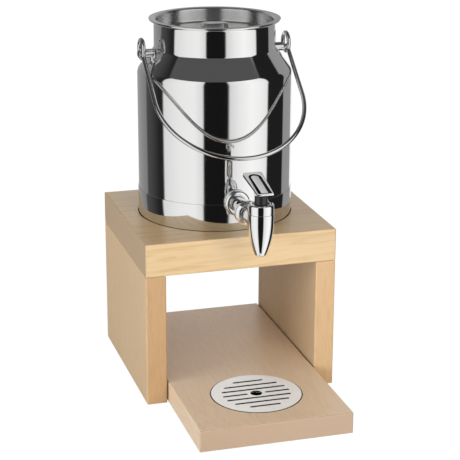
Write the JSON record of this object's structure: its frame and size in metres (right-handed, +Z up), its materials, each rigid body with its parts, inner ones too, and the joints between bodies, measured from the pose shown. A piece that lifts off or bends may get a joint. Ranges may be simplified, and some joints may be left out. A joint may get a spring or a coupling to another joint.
{
  "type": "milk dispenser",
  "caption": "Steel milk can with a lidded neck, a wire bail handle and a self-closing lever tap, seated in a wooden stand over a sliding board with a slotted drip tray.",
  "frame": {"origin": "middle of the object's footprint, on the surface it stands on", "axes": "+Z up, -Y towards the tap and the front of the drip board, +X to the right seen from behind the tap"},
  "size_m": [0.2, 0.313, 0.376],
  "materials": {
    "plate_wood": "matt oiled",
    "leg_wood": "matt oiled",
    "board_wood": "matt oiled",
    "dowel_wood": "plain",
    "foot_rubber": "matt",
    "can_steel": "mirror-polished stainless steel",
    "fitting_steel": "polished",
    "tray_steel": "satin",
    "tap_chrome": "bright chrome plating",
    "spring_steel": "drawn wire",
    "silicone": "matt",
    "black_plastic": "gloss"
  },
  "bodies": {
    "stand": {"top_plate": "plate_wood", "left_leg": "leg_wood", "right_leg": "leg_wood", "leg_dowels": "dowel_wood", "leg_feet": "foot_rubber"},
    "board": {"drip_board": "board_wood", "board_feet": "foot_rubber"},
    "bowl": {"drip_bowl": "tray_steel"},
    "grate": {"drip_grate": "tray_steel"},
    "can": {"can_body": "can_steel", "can_neck": "can_steel", "base_band": "can_steel", "left_ear": "fitting_steel", "right_ear": "fitting_steel", "tap_shank": "tap_chrome", "tap_flange": "tap_chrome", "outer_washer": "silicone", "inner_washer": "silicone", "inner_nut": "fitting_steel", "coupling_nut": "tap_chrome", "tap_spout": "tap_chrome", "cap_ring": "tap_chrome", "tap_bonnet": "black_plastic", "valve_spring": "spring_steel"},
    "bail": {"bail_handle": "fitting_steel"},
    "lid": {"lid_dish": "can_steel", "lid_seal": "silicone", "lid_handle": "fitting_steel", "lid_rivets": "fitting_steel"},
    "stem": {"valve_stem": "fitting_steel", "valve_cup": "silicone"},
    "lever": {"tap_lever": "tap_chrome", "lever_pin": "fitting_steel"}
  },
  "joints": [
    {"name": "board_slide", "type": "slide", "parent": "stand", "child": "board", "axis": [0, -1, 0], "range_m": [0, 0.2]},
    {"name": "bowl_lift", "type": "slide", "parent": "board", "child": "bowl", "axis": [0, 0, 1], "range_m": [0, 0.04]},
    {"name": "grate_lift", "type": "slide", "parent": "bowl", "child": "grate", "axis": [0, 0, 1], "range_m": [0, 0.03]},
    {"name": "can_lift", "type": "slide", "parent": "stand", "child": "can", "axis": [0, 0, 1], "range_m": [0, 0.06]},
    {"name": "lid_lift", "type": "slide", "parent": "can", "child": "lid", "axis": [0, 0, 1], "range_m": [0, 0.05]},
    {"name": "bail_swing", "type": "hinge", "parent": "can", "child": "bail", "pos_m": [0, 0.0645, 0.347], "axis": [-1, 0, 0], "range_deg": [0, 256]},
    {"name": "stem_lift", "type": "slide", "parent": "can", "child": "stem", "axis": [0, 0, 1], "range_m": [0, 0.0026], "deforming": ["valve_spring"]},
    {"name": "lever_tilt", "type": "hinge", "parent": "stem", "child": "lever", "pos_m": [0, -0.0965, 0.23495], "axis": [1, 0, 0], "range_deg": [0, 40], "stiffness_Nm_per_rad": 0.12, "springref_deg": -14.32}
  ],
  "couplings": [
    {"joint": "stem_lift", "follows": "lever_tilt", "m_per_rad": 0.00372}
  ]
}
